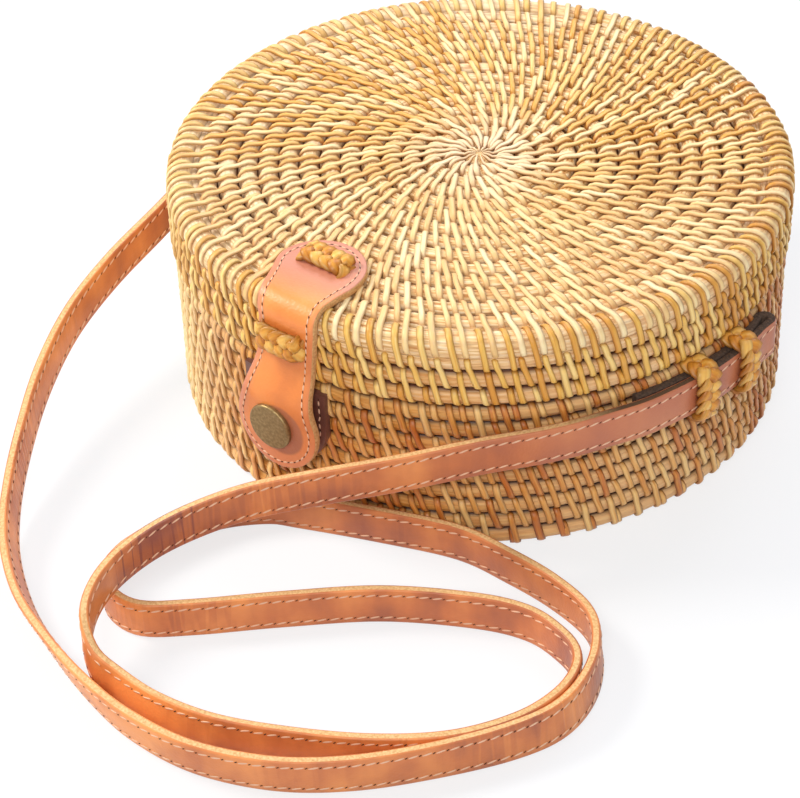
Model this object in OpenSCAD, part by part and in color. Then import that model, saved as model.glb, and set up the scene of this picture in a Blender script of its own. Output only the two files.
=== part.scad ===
/* [Basket] */
// Outer diameter of the lid
bag_d = 200; // [180:1:220]
// How far the base wall stands in from the lid wall
base_inset = 1; // [0.5:0.1:2]
// Height of the base, from the foot to the rim
base_h = 55; // [50:1:66]
// Height from the base rim to the top of the lid
lid_h = 25; // [24:0.5:30]
// Running gap between the base rim and the lid edge
seam_gap = 0.3; // [0.2:0.05:0.5]
// Diameter of one wrapped cane row
row_d = 6.8; // [6.4:0.1:7.2]
// Diameter of the thicker hoop round the top of the lid
rim_d = 8.4; // [7.8:0.1:9]
// Diameter of the thicker hoop that closes the base wall
base_rim_d = 7.2; // [6.8:0.1:7.6]
// Depth of the flat that the bottom rows stand on
foot_flat = 0.5; // [0.3:0.05:0.8]
// How far the flat rows of the lid lie below its rim hoop
top_sink = 0.4; // [0.2:0.1:0.8]
// Gap between the rim hoop and the first flat row
top_edge_gap = 0.5; // [0.3:0.1:0.8]
// Diameter of the coiled knot in the middle of the lid and of the floor
knot_d = 11.2; // [10:0.2:12]
// Gap between a hoop and the rows that it is bound to
hoop_gap = 0.1; // [0.05:0.05:0.2]

/* [Lining] */
// Thickness of the cloth lining
lining_t = 0.8; // [0.6:0.1:1.2]
// Gap between the lining and the rows
lining_gap = 0.3; // [0.2:0.05:0.5]
// Corner radius of the lining
lining_round = 12; // [11:0.5:14]

/* [Leather flap] */
// Thickness of the flap leather
leather_t = 2.6; // [2.2:0.1:3]
// Gap between the flap and the rows that it lies on
flap_gap = 0.2; // [0.1:0.05:0.3]
// Radius of the round end on the lid
top_lobe_r = 14.8; // [13.5:0.1:16]
// Distance from the end on the lid to the bag's axis
top_lobe_reach = 66.8; // [60:0.1:70]
// Radius of the round end that carries the snap
low_lobe_r = 16.2; // [15:0.1:17]
// Distance from the fold down to the snap's centre
snap_drop = 23.4; // [21:0.1:25]
// Half the width of the flap at its waist
waist_half = 10.75; // [10.25:0.05:11.5]
// Height from the lid edge to the fold below the waist
fold_rise = 6.5; // [6:0.1:7]
// Running gap round the fold
fold_gap = 0.3; // [0.2:0.05:0.4]

/* [Cane ties] */
// Width of a plaited tie through the flap
tie_w = 10; // [9:0.1:10.4]
// Distance across the tie, over both legs
tie_span = 17; // [15.5:0.1:17.2]
// Thickness of a plaited tie
tie_t = 3; // [2.6:0.1:3.2]
// How far the legs of a tie reach past the leather
tie_bite = 3.5; // [3:0.1:4]
// Clearance round a leg in its slot
slot_gap = 0.2; // [0.1:0.05:0.3]
// Leather left between the lower slots and the fold
tie_margin = 1; // [0.8:0.1:1.2]
// How far the upper tie sits outside the middle of its lobe, as a share of the lobe's radius
tie_shift_share = 0.25; // [0:0.05:0.3]

/* [Snap] */
// Diameter of the brass cap
cap_d = 15.6; // [14:0.1:17]
// Height of the brass cap
cap_h = 1.4; // [1.2:0.1:1.8]
// Diameter of the socket and of the stud's flange
snap_d = 11; // [10:0.1:12]
// Height of the socket behind the leather
socket_h = 1.4; // [1.2:0.1:1.6]
// Diameter of the stud's round head
stud_d = 4.4; // [4:0.1:4.8]
// Height of the stud above the leather patch
stud_h = 1.5; // [1.3:0.1:1.7]
// Thickness of the stud's flange
flange_t = 0.6; // [0.4:0.05:0.8]
// Gap between the stud's head and the socket
snap_gap = 0.3; // [0.2:0.05:0.4]
// Diameter of the post that joins the cap and the socket
post_d = 3.4; // [3:0.1:3.8]
// Thickness of the leather patch behind the stud
patch_t = 2.2; // [1.8:0.1:2.4]

/* [Hinge] */
// Distance of each hinge tie from the middle
hinge_x = 22; // [18:0.5:24]
// Radius of a hinge tie, from the hinge axis to the cane
hinge_ring_r = 7.2; // [7:0.1:7.4]
// Thickness of the cane in a hinge tie
hinge_cane_d = 2.2; // [1.8:0.1:2.4]
// How far the hinge axis stands outside the lid
hinge_out = 0.6; // [0.5:0.05:0.8]
// Clearance of a hinge tie in the lid
hinge_gap = 0.25; // [0.2:0.05:0.35]

/* [Strap] */
// Width of the strap
strap_w = 13; // [12:0.5:14]
// Thickness of the strap
strap_t = 2.8; // [2.4:0.1:3]
// How far the strap's lower edge lies below the base rim at its loops
strap_drop = 16.5; // [16.4:0.1:18]
// Gap between the strap and what lies next to it
strap_gap = 0.4; // [0.3:0.05:0.5]
// Angle from the flap to the first loop on the right
right_loop_deg = 77; // [74:0.5:80]
// Angle from the flap to the first loop on the left
left_loop_deg = 96; // [92:0.5:99]
// Angle between the two loops of a pair
loop_step_deg = 10.5; // [10:0.25:12]
// Length of a plaited loop along the wall
loop_w = 9; // [8:0.1:10]
// Thickness of a plaited loop
loop_t = 2.8; // [2.4:0.1:3]
// How far a loop reaches into the wall
loop_bite = 2.4; // [2:0.1:3]
// Angle from a front loop to the place where the free strap begins
exit_deg = 6; // [5:0.5:8]
// Angle from a front loop to the end of the folded-back tail
tail_deg = 20; // [16:0.5:24]
// Angle from a front loop to the fold, behind the rear loop
fold_deg = 21; // [19:0.5:24]
// How much thicker the fold is, on each side, than the two layers it joins
fold_swell = 0.15; // [0.1:0.05:0.25]
// Size of the cut on the strap's edges
strap_chamfer = 0.5; // [0.3:0.1:0.8]
// Gap between the free strap and its fastened ends
end_gap = 0.1; // [0.05:0.05:0.2]

/* [Hidden] */
$fn = 64;

// Distance between two rows at most, as a share of their diameter
lap_share = 0.95;
// Overrun of every cut
cut = 1;

bag_r = bag_d / 2;
base_r = bag_r - base_inset;
row_r = row_d / 2;
rim_r = rim_d / 2;
base_rim_r = base_rim_d / 2;
top_z = base_h + lid_h;

// Base wall: rows from the foot to the rim hoop
foot_z = row_r - foot_flat;
wall_c = base_r - row_r;
base_rim_z = base_h - base_rim_r;
base_rim_c = base_r - base_rim_r;
base_rows = ceil((base_rim_z - foot_z) / (row_d * lap_share));
base_pitch = (base_rim_z - foot_z) / base_rows;

// Floor: rows from the foot to the middle knot
knot_c = knot_d / 2 - row_r;
// Overlap of the knot and the row round it, as a share of the row's radius
knot_lap_share = 0.15;
knot_row_c = knot_d / 2 + row_r * (1 - knot_lap_share);
floor_rows = round((wall_c - knot_row_c) / (row_d * lap_share));
floor_pitch = (wall_c - knot_row_c) / floor_rows;

// Lid: edge hoop, wall rows, rim hoop, and flat rows to the middle
edge_z = base_h + seam_gap + row_r;
edge_c = bag_r - row_r;
lid_rim_z = top_z - rim_r;
lid_rim_c = bag_r - rim_r;
lid_wall_top = lid_rim_z - rim_r;
lid_rows = ceil((lid_wall_top - edge_z) / (row_d * lap_share));
lid_pitch = (lid_wall_top - edge_z) / lid_rows;
top_row_z = top_z - top_sink - row_r;
top_first_c = lid_rim_c - rim_r - row_r - top_edge_gap;
top_rows = round((top_first_c - knot_row_c) / (row_d * lap_share));
top_pitch = (top_first_c - knot_row_c) / top_rows;
// The row that binds wall and top inside the rim hoop, as a share of the two radii
inner_share = 0.75;
inner_deg = 30;
inner_reach = (rim_r + row_r) * inner_share;

// Flap: wall part, fold axis, and the drape over the patch
flap_in = bag_r + flap_gap;
flap_out = flap_in + leather_t;
flap_mid = flap_in + leather_t / 2;
flap_top_z = top_z + flap_gap;
bend_in = rim_r + flap_gap;
fold_z = base_h + seam_gap + fold_rise;
snap_z = fold_z - snap_drop;
waist_z = (fold_z + lid_rim_z) / 2 - flap_gap;
patch_in = base_r + flap_gap;
patch_out = patch_in + patch_t;
stud_tip = patch_out + hoop_gap + stud_h;
socket_in = stud_tip + snap_gap;
drape_in = socket_in + socket_h + hoop_gap;
drape_out = drape_in + leather_t;
drape_mid = drape_in + leather_t / 2;
// The drape ends this share of the lobe's radius above the snap
drape_share = 0.45;
drape_z = snap_z + low_lobe_r * drape_share;
drape_steps = 14;
waist_x = waist_half;
top_lobe_c = top_lobe_reach + top_lobe_r;
patch_inset = 0.6;
patch_r = low_lobe_r - patch_inset;
// The patch ends this share of its radius above the snap
patch_share = 0.88;
patch_top = snap_z + patch_r * patch_share;

// Hinge axis at the back, level with the seam
hinge_y = bag_r + hinge_out;
hinge_z = base_h + seam_gap / 2;

// Strap layers at the loops: tail against the wall, strap outside it
strap_z = base_h - strap_drop;
tail_in = base_r + lining_gap;
strap_in = tail_in + strap_t + strap_gap;
strap_out = strap_in + strap_t;
strap_mid = strap_in + strap_t / 2;
strap_fold_c = (tail_in + strap_out) / 2;
strap_fold_r = (strap_out - tail_in) / 2 + fold_swell;
loop_in = strap_out + strap_gap;
loop_out = loop_in + loop_t;
loop_round = loop_t;

// The size of bag and the height of the strap's start that the route below is drawn for
route_bag_r = 100;
route_start_z = 38.5;
// Route of the free strap: plan position of its middle, and height of its lower edge
strap_route = [
    [94.9, -43.3, 38.5], [90.3, -52.2, 38.5], [79, -68, 37], [63, -85.5, 35.5], [47, -103.5, 33.5],
    [29.5, -121.5, 31.5], [13, -137.5, 28], [-0.5, -154, 22], [-8, -167.5, 15.5],
    [-7, -181, 13.5], [-2, -191.5, 10.5], [5.5, -196, 4], [14.5, -196, 0.5],
    [30, -195, 0], [47.5, -191.5, 0], [66.5, -183, 0], [87.5, -171, 0],
    [105, -157.5, 0], [117, -142.5, 0], [121.5, -129, 0], [120.5, -118, 0],
    [116, -110.5, 0], [107.5, -106.5, 0], [95, -105, 0], [79, -110, 0],
    [54.5, -124, 0], [32, -143.5, 0], [13, -161.5, 0], [0, -171, 0],
    [-11.5, -171.5, 0], [-20.5, -164.5, 0], [-23.5, -151.5, 0], [-19, -135, 0],
    [-8.5, -116.5, 0], [7.5, -106, 0], [32, -96.5, 0], [56.5, -88.5, 0],
    [75.5, -88, 0], [93.5, -89.5, 0], [109.5, -94, 0], [119.5, -103.5, 0],
    [125.5, -117, 0], [126, -132, 0], [119.5, -147, 0], [106, -165.5, 0],
    [90, -183, 0], [72, -196, 0], [50, -204, 0], [28, -205, 0],
    [8, -201, 0], [-12, -194, 0], [-33, -184.5, 0], [-52, -171.5, 1.5],
    [-66.5, -157.5, 5.5], [-79.5, -140, 12], [-91, -118.5, 19.5], [-99, -95.5, 27],
    [-102.5, -71.5, 33], [-104.5, -43.5, 36.5], [-104.5, -21, 38]
];

function on_wall(deg, r, z) = [r * sin(deg), -r * cos(deg), z];
function unit(v) = v / norm(v);
function plan(v) = [v[0], v[1]];
function tangent_circle(half, rise, lobe) =
    (half * half + rise * rise - lobe * lobe) / (2 * (lobe - half));

// Section of one row
module row_section(c, z, r = row_r) {
    translate([c, z]) circle(r);
}

// Section of the knot in the middle
module knot_section(z) {
    row_section(knot_c, z);
    translate([0, z - row_r]) square([knot_c, row_d]);
}

// Keeps a section on the outer side of the axis and above the ground
module right_of_axis() {
    intersection() {
        children();
        square([bag_d, top_z + cut]);
    }
}

module base_shell() {
    color("#d9a860") rotate_extrude() right_of_axis() difference() {
        union() {
            for (k = [1 : base_rows]) row_section(wall_c, base_rim_z - k * base_pitch);
            for (k = [1 : floor_rows]) row_section(wall_c - k * floor_pitch, foot_z);
            knot_section(foot_z);
        }
        row_section(base_rim_c, base_rim_z, base_rim_r + hoop_gap);
    }
}

module base_rim_hoop() {
    color("#ecd9b4") rotate_extrude() row_section(base_rim_c, base_rim_z, base_rim_r);
}

// The place of the row that binds the wall to the top, inside the rim hoop
inner_c = lid_rim_c - inner_reach * cos(inner_deg);
inner_z = lid_rim_z - inner_reach * sin(inner_deg);

module lid_section() {
    difference() {
        union() {
            for (k = [1 : lid_rows]) row_section(edge_c, edge_z + k * lid_pitch);
            for (k = [0 : top_rows]) row_section(top_first_c - k * top_pitch, top_row_z);
            row_section(inner_c, inner_z);
            knot_section(top_row_z);
        }
        row_section(edge_c, edge_z, row_r + hoop_gap);
        row_section(lid_rim_c, lid_rim_z, rim_r + hoop_gap);
    }
}

// Room in the lid for the hinge ties, which turn about the hinge axis
module hinge_room() {
    for (side = [-1, 1]) hinge_ring(side, hinge_cane_d / 2 + hinge_gap);
}

module hinge_ring(side, r) {
    translate([side * hinge_x, hinge_y, hinge_z]) rotate([0, 90, 0])
        rotate_extrude() translate([hinge_ring_r, 0]) circle(r);
}

module lid_shell() {
    color("#e6bc78") difference() {
        rotate_extrude() right_of_axis() lid_section();
        hinge_room();
    }
}

module lid_rim_hoop() {
    color("#ead2a4") rotate_extrude() row_section(lid_rim_c, lid_rim_z, rim_r);
}

module lid_edge_hoop() {
    color("#e0b46c") difference() {
        rotate_extrude() row_section(edge_c, edge_z);
        hinge_room();
    }
}

module hinge_tie(side) {
    color("#d9a860") hinge_ring(side, hinge_cane_d / 2);
}

// Section of a cup that is closed at its upper end, with a round corner
module cup_section(r, h) {
    intersection() {
        union() {
            square([r - lining_round, h]);
            square([r, h - lining_round]);
            translate([r - lining_round, h - lining_round]) circle(lining_round);
        }
        square([r, h]);
    }
}

module lining_section(r, h) {
    difference() {
        cup_section(r, h);
        translate([-lining_t, -lining_t]) cup_section(r, h);
    }
}

module base_lining() {
    low = foot_z + row_r + lining_gap;
    tall = base_rim_z - low;
    color("#efe7d8") translate([0, 0, low + tall]) mirror([0, 0, 1])
        rotate_extrude() right_of_axis()
            lining_section(min(wall_c - row_r, base_rim_c - base_rim_r) - lining_gap, tall);
}

module lid_lining() {
    low = edge_z;
    tall = top_row_z - row_r - lining_gap - low;
    color("#efe7d8") translate([0, 0, low])
        rotate_extrude() right_of_axis() lining_section(edge_c - row_r - lining_gap, tall);
}

// Half of the flap's outline: a round lobe that narrows along an arc to the waist
module lobe_outline(lobe, rise) {
    arc = tangent_circle(waist_x, rise, lobe);
    share = lobe / (lobe + arc);
    circle(lobe);
    difference() {
        translate([-(waist_x + arc) * share, rise * share])
            square([2 * (waist_x + arc) * share, rise * (1 - share)]);
        for (side = [-1, 1]) translate([side * (waist_x + arc), rise]) circle(arc);
    }
}

// Lays a section drawn in Y and Z along X, centred
module along_x(w) {
    translate([-w / 2, 0, 0]) rotate([90, 0, 90]) linear_extrude(w) children();
}

// Side view of the leather on the lid: flat, round the rim hoop, down to the fold
module upper_profile() {
    difference() {
        union() {
            translate([-lid_rim_c, flap_top_z])
                square([lid_rim_c - top_lobe_reach, leather_t]);
            difference() {
                translate([-lid_rim_c, lid_rim_z]) circle(bend_in + leather_t);
                translate([-lid_rim_c, lid_rim_z]) circle(bend_in);
                translate([-lid_rim_c, lid_rim_z - bag_r]) square([bag_r, bag_d]);
                translate([-lid_rim_c - bag_r, lid_rim_z - bag_r]) square([bag_d, bag_r]);
            }
            translate([-flap_out, fold_z]) square([leather_t, lid_rim_z - fold_z]);
        }
        translate([-flap_out - cut, fold_z - cut])
            square([leather_t + 2 * cut, cut + leather_t / 2 + fold_gap]);
    }
}

// Slots for the two legs of a tie, cut through leather that lies flat in X and Y
module tie_slots() {
    for (side = [-1, 1]) translate([side * (tie_span - tie_t) / 2, 0, 0])
        cube([tie_t + 2 * slot_gap, tie_w + 2 * slot_gap, leather_t + 2 * cut], center = true);
}

// The upper tie's legs go down among the flat rows, inside the rim hoop
tie_top_y = -min(top_lobe_c - top_lobe_r * tie_shift_share, lid_rim_c - rim_r - hoop_gap - tie_w / 2);
tie_waist_z = fold_z + leather_t / 2 + fold_gap + slot_gap + tie_margin + tie_w / 2;

module flap_upper() {
    wall_rise = lid_rim_z - waist_z;
    color("#d98a50") difference() {
        intersection() {
            along_x(bag_d) upper_profile();
            union() {
                translate([0, -top_lobe_c, lid_rim_z]) mirror([0, 1, 0])
                    linear_extrude(lid_h) lobe_outline(top_lobe_r, flap_out + wall_rise - top_lobe_c);
                translate([-waist_x, -flap_out - cut, fold_z - cut])
                    cube([2 * waist_x, leather_t + 2 * cut, waist_z - fold_z + cut]);
                waist_outline(flap_out + wall_rise - top_lobe_c);
            }
        }
        translate([0, tie_top_y, flap_top_z + leather_t / 2]) tie_slots();
        translate([0, -flap_mid, tie_waist_z]) rotate([90, 0, 0]) tie_slots();
    }
}

// The wall part of the upper outline, from the waist up to the bend
module waist_outline(rise) {
    arc = tangent_circle(waist_x, rise, top_lobe_r);
    translate([0, -flap_in + cut, waist_z]) rotate([90, 0, 0])
        linear_extrude(leather_t + 2 * cut) difference() {
            translate([-top_lobe_r, 0]) square([2 * top_lobe_r, lid_rim_z - waist_z]);
            for (side = [-1, 1]) translate([side * (waist_x + arc), 0]) circle(arc);
        }
}

// Middle line of the draped leather: it eases out from the fold to clear the patch
function drape(k) = let (f = k / drape_steps)
    [-(flap_mid + (drape_mid - flap_mid) * (1 - cos(180 * f)) / 2), fold_z + (drape_z - fold_z) * f];
function drape_side(k, side) = let (
        a = drape(max(k - 1, 0)),
        b = drape(min(k + 1, drape_steps)),
        t = unit(b - a))
    drape(k) + side * leather_t / 2 * [-t[1], t[0]];

module lower_profile() {
    low = snap_z - low_lobe_r;
    polygon(concat(
        [for (a = [180 : -15 : 0]) drape(0) + leather_t / 2 * [cos(a), sin(a)]],
        [for (k = [1 : drape_steps]) drape_side(k, 1)],
        [[-drape_in, low], [-drape_out, low]],
        [for (k = [drape_steps : -1 : 1]) drape_side(k, -1)]
    ));
}

module flap_lower() {
    rise = waist_z - snap_z;
    color("#d98248") difference() {
        intersection() {
            along_x(bag_d) lower_profile();
            translate([0, 0, snap_z]) rotate([90, 0, 0])
                linear_extrude(bag_d) lobe_outline(low_lobe_r, rise);
        }
        translate([0, -drape_in + cut, snap_z]) rotate([90, 0, 0])
            cylinder(d = post_d + 2 * hoop_gap, h = leather_t + 2 * cut);
    }
}

// A plaited tie seen from its end: a flat bridge with a leg at each side
module tie_section(span, rise, bite, t) {
    difference() {
        translate([-span / 2, -bite]) rounded_top(span, rise + bite, t);
        translate([t - span / 2, -bite - cut]) rounded_top(span - 2 * t, rise + bite + cut - t, slot_gap);
    }
}

module rounded_top(w, h, r) {
    square([w, h - r]);
    translate([r, 0]) square([w - 2 * r, h]);
    for (x = [r, w - r]) translate([x, h - r]) circle(r);
}

module flap_tie_top() {
    color("#c98f3c") translate([0, tie_top_y + tie_w / 2, flap_top_z + leather_t])
        rotate([90, 0, 0]) linear_extrude(tie_w)
            tie_section(tie_span, tie_t + flap_gap, leather_t + flap_gap + tie_bite, tie_t);
}

module flap_tie_waist() {
    color("#c98f3c") translate([0, -flap_out, tie_waist_z + tie_w / 2]) mirror([0, 1, 0])
        rotate([0, 180, 0]) linear_extrude(tie_w)
            tie_section(tie_span, tie_t + flap_gap, leather_t + flap_gap + tie_bite, tie_t);
}

module snap_cap() {
    dome = cap_h / 2;
    color("#8c7440") translate([0, -drape_out - hoop_gap, snap_z]) rotate([90, 0, 0]) {
        rotate_extrude() {
            square([cap_d / 2 - dome, cap_h]);
            square([cap_d / 2, dome]);
            translate([cap_d / 2 - dome, dome]) intersection() {
                circle(dome);
                square([dome, dome]);
            }
        }
        translate([0, 0, -leather_t - hoop_gap]) cylinder(d = post_d, h = leather_t + 2 * hoop_gap);
    }
}

module snap_socket() {
    color("#a08850") translate([0, -socket_in, snap_z]) rotate([90, 0, 0])
        rotate_extrude() difference() {
            square([snap_d / 2, socket_h]);
            square([stud_d / 2 + hoop_gap, socket_h - flange_t]);
        }
}

module snap_stud() {
    color("#a08850") translate([0, -patch_out - hoop_gap, snap_z]) rotate([90, 0, 0])
        rotate_extrude() {
            square([snap_d / 2, flange_t]);
            square([stud_d / 2, stud_h]);
        }
}

module stud_patch() {
    color("#7a4a34") intersection() {
        rotate([0, 0, -135]) rotate_extrude(angle = 90)
            translate([patch_in, 0]) square([patch_t, top_z]);
        translate([0, 0, snap_z]) rotate([90, 0, 0]) linear_extrude(bag_d) {
            circle(patch_r);
            translate([-patch_r, 0]) square([2 * patch_r, patch_top - snap_z]);
        }
    }
}

// A plaited loop round the strap, at an angle from the flap
module strap_loop(deg) {
    low = strap_z - strap_gap - loop_t;
    tall = strap_w + 2 * (strap_gap + loop_t);
    color("#c08a38") rotate([0, 0, deg]) along_x(loop_w) difference() {
        rounded_side(loop_out, base_r - loop_bite, low, tall, loop_round);
        rounded_side(loop_in, base_r - loop_bite - cut, low + loop_t, tall - 2 * loop_t, loop_round / 2);
    }
}

// A block from the wall out to r, with both outer corners round
module rounded_side(r, inner, low, tall, round) {
    translate([-r, low + round]) square([r - inner, tall - 2 * round]);
    translate([-r + round, low]) square([r - inner - round, tall]);
    for (z = [low + round, low + tall - round]) translate([-r + round, z]) circle(round);
}

// Plan of a band round the wall, between two angles from the flap
module wall_band(r, from_deg, to_deg) {
    far = 2 * bag_d;
    intersection() {
        difference() {
            circle(r + strap_t);
            circle(r);
        }
        polygon([[0, 0], plan(on_wall(from_deg, far, 0)), plan(on_wall(to_deg, far, 0))]);
    }
}

// The end of the strap: under both loops, folded back, with its tail against the wall
module strap_end(deg) {
    color("#b0684a") translate([0, 0, strap_z]) linear_extrude(strap_w) {
        wall_band(strap_in, deg - exit_deg, deg + fold_deg);
        wall_band(tail_in, deg - tail_deg, deg + fold_deg);
        translate(plan(on_wall(deg + fold_deg, strap_fold_c, 0))) circle(strap_fold_r);
    }
}

end_gap_deg = atan(end_gap / strap_mid);
strap_start = on_wall(right_loop_deg - exit_deg - end_gap_deg, strap_mid, strap_z);
strap_finish = on_wall(exit_deg + end_gap_deg - left_loop_deg, strap_mid, strap_z);
plan_scale = bag_r / route_bag_r;
rise_scale = strap_z / route_start_z;
strap_between = [for (p = strap_route) [p[0] * plan_scale, p[1] * plan_scale, p[2] * rise_scale]];
strap_points = concat([strap_start], strap_between, [strap_finish]);
strap_last = len(strap_points) - 1;
function strap_heading(i) =
    i == 0 ? -[cos(right_loop_deg - exit_deg), sin(right_loop_deg - exit_deg)] :
    i == strap_last ? -[cos(exit_deg - left_loop_deg), sin(exit_deg - left_loop_deg)] :
    unit(unit(plan(strap_points[i + 1] - strap_points[i])) + unit(plan(strap_points[i] - strap_points[i - 1])));
// Corners of the strap's section: across, then up
half_t = strap_t / 2;
strap_corners = [
    [-half_t, strap_chamfer], [-half_t + strap_chamfer, 0], [half_t - strap_chamfer, 0],
    [half_t, strap_chamfer], [half_t, strap_w - strap_chamfer], [half_t - strap_chamfer, strap_w],
    [-half_t + strap_chamfer, strap_w], [-half_t, strap_w - strap_chamfer]
];
corners = len(strap_corners);
strap_rings = [for (i = [0 : strap_last], c = strap_corners)
    let (p = strap_points[i], h = strap_heading(i))
    [p[0] + c[0] * h[1], p[1] - c[0] * h[0], p[2] + c[1]]];
strap_sides = [for (i = [0 : strap_last - 1], j = [0 : corners - 1])
    let (a = i * corners + j, b = i * corners + (j + 1) % corners)
    each [[a, b, b + corners], [a, b + corners, a + corners]]];

module strap() {
    color("#b86a44") polyhedron(strap_rings, concat(
        strap_sides,
        [for (j = [1 : corners - 2]) [0, j + 1, j]],
        [for (j = [1 : corners - 2]) let (e = strap_last * corners) [e, e + j, e + j + 1]]
    ));
}

base_shell();
base_rim_hoop();
base_lining();
stud_patch();
snap_stud();
hinge_tie(-1);  // hinge_tie_left
hinge_tie(1);  // hinge_tie_right
strap_loop(right_loop_deg);  // strap_loop_right_front
strap_loop(right_loop_deg + loop_step_deg);  // strap_loop_right_rear
strap_loop(-left_loop_deg);  // strap_loop_left_front
strap_loop(-left_loop_deg - loop_step_deg);  // strap_loop_left_rear
strap_end(right_loop_deg);  // strap_end_right
mirror([1, 0, 0]) strap_end(left_loop_deg);  // strap_end_left
strap();
lid_shell();
lid_rim_hoop();
lid_edge_hoop();
lid_lining();
flap_upper();
flap_tie_top();
flap_tie_waist();
flap_lower();
snap_cap();
snap_socket();
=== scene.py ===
# %% [markdown]
# # A round rattan bag
# This lesson dresses a imported model of a round shoulder bag. The model gives every solid at its
# real size, in metres: coiled rows, hoops, lining, flap, snap, loops and strap. The looks are made
# here: the cane strands that bind the rows, the leather, its stitches, and the brass.
# Every new piece but the flap and its stitches rides on the body that it is fixed to, so the lid still
# opens.

# %% Load the frame
import bpy
import math
import random
from functools import partial
import numpy as np
from mathutils import Matrix, Vector


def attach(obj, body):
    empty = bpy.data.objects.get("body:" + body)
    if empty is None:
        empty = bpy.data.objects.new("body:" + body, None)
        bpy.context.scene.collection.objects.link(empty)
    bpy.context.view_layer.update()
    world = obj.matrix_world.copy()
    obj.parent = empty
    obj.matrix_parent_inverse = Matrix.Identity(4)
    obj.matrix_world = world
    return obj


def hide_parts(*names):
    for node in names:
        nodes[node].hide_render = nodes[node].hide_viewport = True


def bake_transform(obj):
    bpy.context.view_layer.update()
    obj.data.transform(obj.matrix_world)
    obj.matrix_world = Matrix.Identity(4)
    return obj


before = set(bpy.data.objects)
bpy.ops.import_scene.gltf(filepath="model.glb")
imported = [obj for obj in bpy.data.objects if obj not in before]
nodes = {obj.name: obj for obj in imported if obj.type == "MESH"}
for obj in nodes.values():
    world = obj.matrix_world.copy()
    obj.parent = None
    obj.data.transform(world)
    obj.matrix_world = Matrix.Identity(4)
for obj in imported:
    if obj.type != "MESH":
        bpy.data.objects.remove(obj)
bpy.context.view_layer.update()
mm = 0.001

# %% [markdown]
# ## The camera
# The bag is seen from the front right, from well above, through a long lens. The azimuth is measured
# from the side with the flap. The picture is tilted by two degrees, as a hand-held camera leaves it.

# %% Camera
cam_azimuth, cam_elevation, cam_roll = math.radians(39.2), math.radians(38.8), math.radians(-2.15)
cam_target, cam_distance = Vector((-21.9, -17.9, -20.1)) * mm, 900 * mm
sensor_mm, focal_pixels, picture_pixels = 36, 2607, 800
back = Vector((
    math.sin(cam_azimuth) * math.cos(cam_elevation),
    -math.cos(cam_azimuth) * math.cos(cam_elevation),
    math.sin(cam_elevation),
))
level = Vector((math.cos(cam_azimuth), math.sin(cam_azimuth), 0))
upright = back.cross(level)
right = level * math.cos(cam_roll) + upright * math.sin(cam_roll)
up = upright * math.cos(cam_roll) - level * math.sin(cam_roll)
camera_data = bpy.data.cameras.new("camera")
camera = bpy.data.objects.new("camera", camera_data)
bpy.context.scene.collection.objects.link(camera)
bpy.context.scene.camera = camera
camera.matrix_world = Matrix((
    (right.x, up.x, back.x, 0), (right.y, up.y, back.y, 0), (right.z, up.z, back.z, 0), (0, 0, 0, 1)
))
camera.location = cam_target + back * cam_distance
camera_data.sensor_width = sensor_mm
camera_data.lens = sensor_mm * focal_pixels / picture_pixels
camera_data.clip_start, camera_data.clip_end = 0.05, 20
print("camera at", [round(c / mm) for c in camera.location], "mm, lens", round(camera_data.lens, 1), "mm")

# %% [markdown]
# ## Helpers for materials
# A colour is written as it looks on screen, as a hex value, and a shader needs it linear, so one
# function turns it. One more function adds a node: it sets the node's options, fills the stops of a
# colour ramp, and gives each input a value or a link, whichever it is handed.

# %% Material helpers
def linear(hex_value):
    parts = [int(hex_value[i:i + 2], 16) / 255 for i in (1, 3, 5)]
    return [c / 12.92 if c <= 0.04045 else ((c + 0.055) / 1.055) ** 2.4 for c in parts] + [1]


def feed(target, inputs):
    """Gives inputs, by name or in their order, a value, or a link where an output is handed over."""
    for key, value in inputs.items() if isinstance(inputs, dict) else enumerate(inputs):
        if isinstance(value, bpy.types.NodeSocket):
            target.id_data.links.new(value, target.inputs[key])
        else:
            target.inputs[key].default_value = value


def node(tree, kind, inputs=(), stops=(), out=0, **options):
    """Adds a shader node and returns the output that out names, or all of them for None.
    The inputs of a MapRange are, in order: the value, from least to most, to least to most."""
    made = tree.nodes.new("ShaderNode" + kind)
    for key, value in options.items():
        setattr(made, key, value)
    for number, (place, colour) in enumerate(stops):
        ramp = made.color_ramp.elements
        if number >= len(ramp):
            ramp.new(0.99)
        ramp[number].position, ramp[number].color = place, linear(colour)
    feed(made, [inputs] if isinstance(inputs, bpy.types.NodeSocket) else inputs)
    return made.outputs if out is None else made.outputs[out]


as_colour = {"out": 2, "data_type": "RGBA"}  # how a Mix node takes and gives colours


def surface(name):
    """A new material, the function that adds nodes to it, and its shader."""
    made = bpy.data.materials.new(name)
    made.use_nodes = True
    return made, partial(node, made.node_tree), made.node_tree.nodes["Principled BSDF"]


def cover(material, *names):
    """Puts one material on solids of the model."""
    for name in names:
        nodes[name].data.materials.clear()
        nodes[name].data.materials.append(material)


# %% [markdown]
# ## Helpers for shapes
# Most new pieces are tubes of some section, swept along a line that no curve object can carry
# without a twist. The first functions smooth a line and measure it.

# %% Lines
def run_along(points):
    """The distance of each point of a line from its first, along the line."""
    steps = np.diff(np.array([tuple(p) for p in points], float), axis=0)
    return np.concatenate([[0], np.cumsum(np.linalg.norm(steps, axis=1))])


def value_at(at, run, values):
    """Each column of the values at a place, or at many, along a run."""
    return np.stack([np.interp(at, run, column) for column in values.T], -1)


def heading(points):
    """Unit vectors along a line of points."""
    ahead = np.gradient(points, axis=0)
    return ahead / np.linalg.norm(ahead, axis=1)[:, None]


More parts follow.
